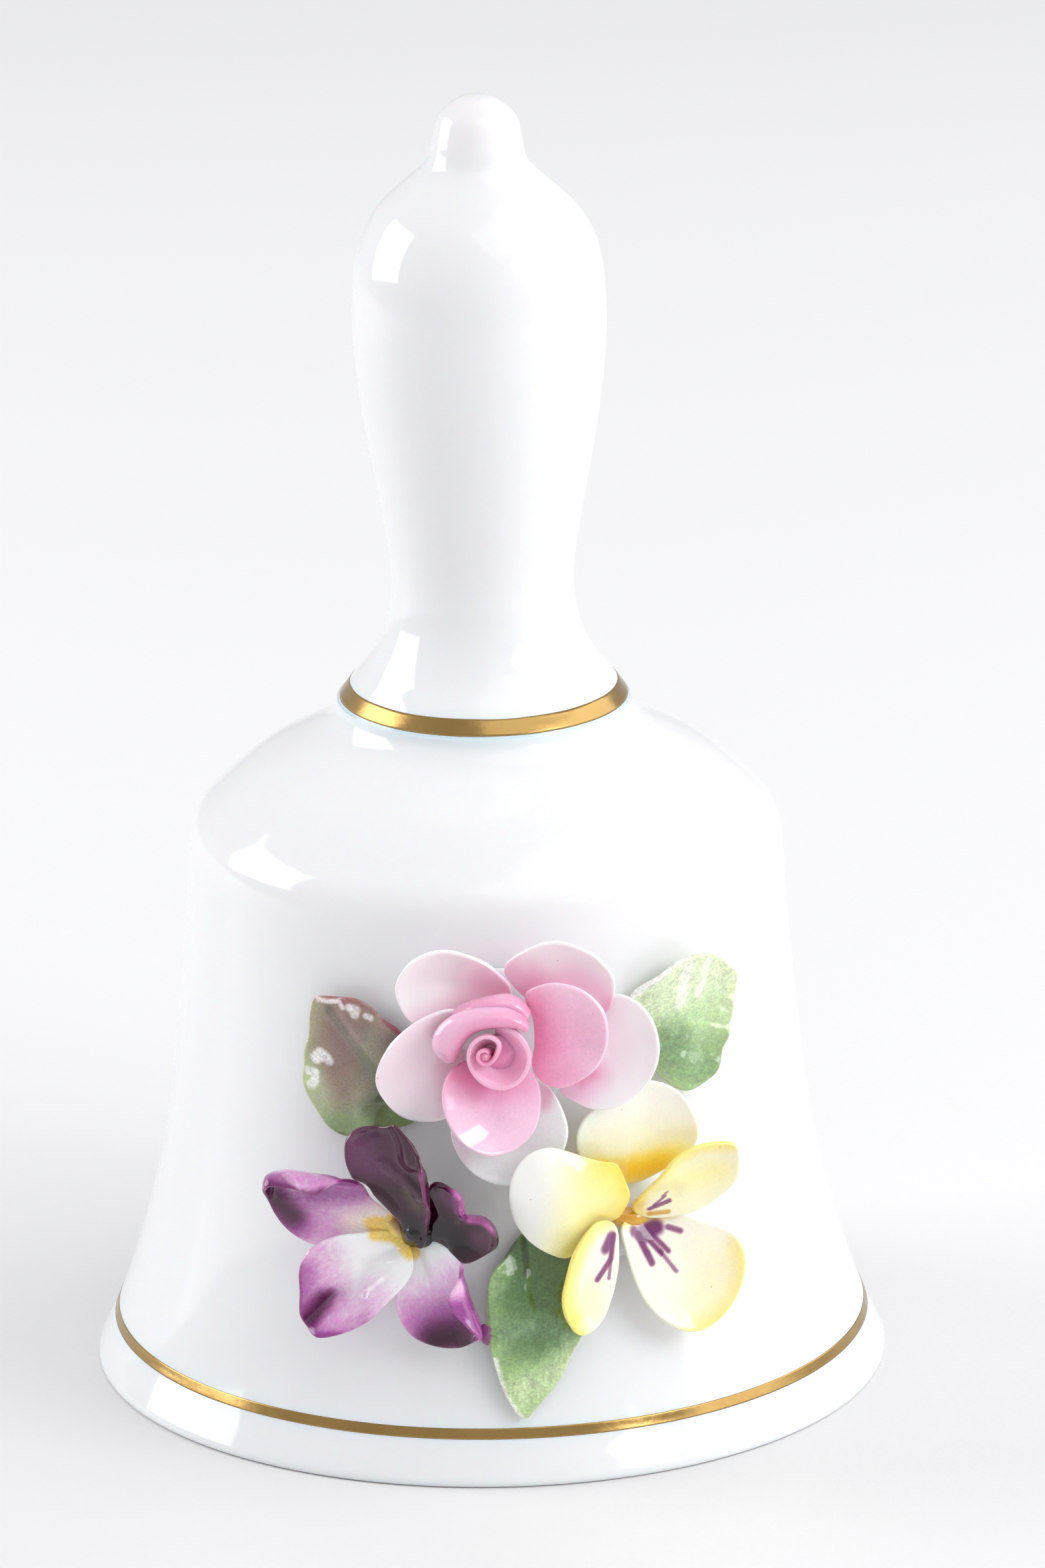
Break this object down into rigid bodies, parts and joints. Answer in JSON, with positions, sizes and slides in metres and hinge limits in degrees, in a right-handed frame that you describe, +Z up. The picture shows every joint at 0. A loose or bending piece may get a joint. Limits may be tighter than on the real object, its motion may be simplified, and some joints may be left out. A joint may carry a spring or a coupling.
{
  "type": "porcelain table bell",
  "caption": "White porcelain hand bell with gilt lines, a hand-modelled flower spray on its front and a clapper that swings inside on a swivelling eye pin.",
  "frame": {"origin": "centre of the foot ring that the bell stands on, on the axis of the bell", "axes": "+Z up the axis of the bell towards the knob, -Y towards the flowers on the front"},
  "size_m": [0.076, 0.076, 0.1246],
  "materials": {
    "bone_china": "bright clear glaze over white bone china",
    "gilt": "burnished gold film",
    "plaster": "matt plaster",
    "wire": "drawn wire, dull",
    "pink_china": "hand-brushed pink fading to white, glazed",
    "violet_china": "hand-brushed violet over white, glazed",
    "aubergine_china": "dark aubergine, glazed",
    "yellow_china": "hand-brushed yellow over white with purple rays, glazed",
    "flower_eye": "ochre yellow, glazed",
    "leaf_brown": "brown-purple over green, glazed",
    "leaf_pale": "pale green with a darker base, glazed",
    "leaf_dark": "dark green with a pale tip, glazed"
  },
  "bodies": {
    "bell": {"bell_shell": "bone_china", "handle": "bone_china", "gilt_line_collar": "gilt", "gilt_line_rim": "gilt", "crown_plug": "plaster", "rose_pad": "bone_china", "purple_pad": "bone_china", "yellow_pad": "bone_china", "rose_petal_top_left": "pink_china", "rose_petal_top_right": "pink_china", "rose_petal_right": "pink_china", "rose_petal_far_right": "pink_china", "rose_petal_left": "pink_china", "rose_petal_bottom": "pink_china", "rose_petal_bottom_back": "pink_china", "rose_wrap_inner": "pink_china", "rose_wrap_outer": "pink_china", "rose_bud": "pink_china", "purple_petal_upper": "aubergine_china", "purple_petal_right": "aubergine_china", "purple_petal_left": "violet_china", "purple_petal_low_left": "violet_china", "purple_petal_low_right": "violet_china", "purple_eye": "flower_eye", "yellow_petal_top": "yellow_china", "yellow_petal_left": "yellow_china", "yellow_petal_upper_right": "yellow_china", "yellow_petal_low_right": "yellow_china", "yellow_petal_low_left": "yellow_china", "yellow_throat": "flower_eye", "leaf_left": "leaf_brown", "leaf_right": "leaf_pale", "leaf_bottom": "leaf_dark"},
    "hanger": {"eye_pin": "wire"},
    "clapper": {"clapper_wire": "wire", "clapper_bead": "bone_china"}
  },
  "joints": [
    {"name": "hanger_swivel", "type": "hinge", "parent": "bell", "child": "hanger", "pos_m": [0, 0, 0.057], "axis": [0, 0, 1], "continuous": true},
    {"name": "clapper_swing", "type": "hinge", "parent": "hanger", "child": "clapper", "pos_m": [0, 0, 0.0554], "axis": [1, 0, 0], "range_deg": [-35, 35]}
  ]
}
